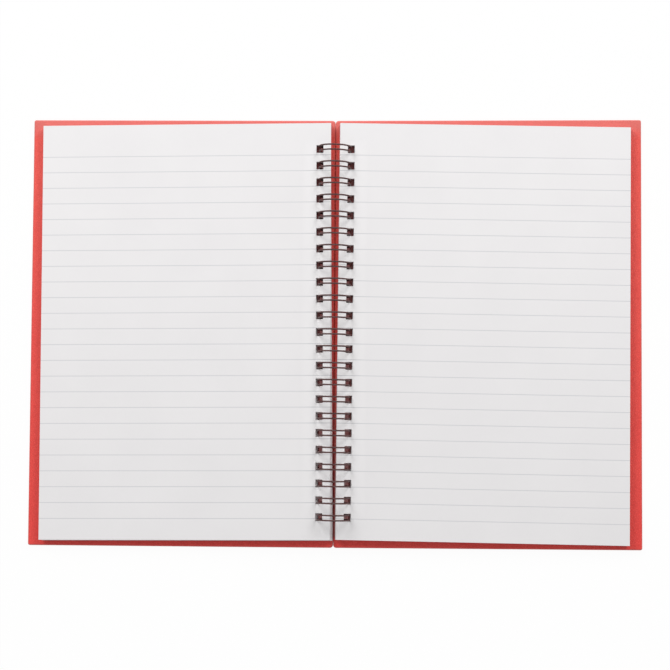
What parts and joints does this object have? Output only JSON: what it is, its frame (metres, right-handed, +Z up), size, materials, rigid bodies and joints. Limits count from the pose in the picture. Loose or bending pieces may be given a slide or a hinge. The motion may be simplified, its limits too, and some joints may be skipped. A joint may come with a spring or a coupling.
{
  "type": "open wire-bound notebook",
  "caption": "Open notebook with ruled leaves and stiff red covers, held along the gutter by a twin-loop wire through square holes.",
  "frame": {"origin": "on the surface that the notebook lies on, under the axis of the rings, at the middle of the covers' height", "axes": "+X from the left cover to the right cover, +Y from the tail to the head of the leaves, +Z up"},
  "size_m": [0.3106, 0.218, 0.017],
  "materials": {
    "cover_wrap": "red embossed leatherette over stiff board",
    "page_paper": "uncoated white writing paper with faint ruled lines",
    "coated_wire": "dark coated steel wire, satin"
  },
  "bodies": {
    "back_cover": {"back_cover": "cover_wrap"},
    "front_cover": {"front_cover": "cover_wrap"},
    "left_pages": {"left_pages": "page_paper"},
    "right_pages": {"right_pages": "page_paper"},
    "binding_wire": {"binding_wire": "coated_wire"}
  },
  "joints": [
    {"name": "front_cover_turn", "type": "hinge", "parent": "back_cover", "child": "front_cover", "pos_m": [0, 0, 0.00855], "axis": [0, 1, 0], "range_deg": [0, 178.5]},
    {"name": "left_pages_turn", "type": "hinge", "parent": "front_cover", "child": "left_pages", "pos_m": [0, 0, 0.00855], "axis": [0, 1, 0], "range_deg": [0, 178.5]},
    {"name": "right_pages_turn", "type": "hinge", "parent": "back_cover", "child": "right_pages", "pos_m": [0, 0, 0.00855], "axis": [0, -1, 0], "range_deg": [0, 178.5]},
    {"name": "wire_slip", "type": "hinge", "parent": "back_cover", "child": "binding_wire", "pos_m": [0, 0, 0.00855], "axis": [0, 1, 0], "range_deg": [-15, 15]}
  ]
}
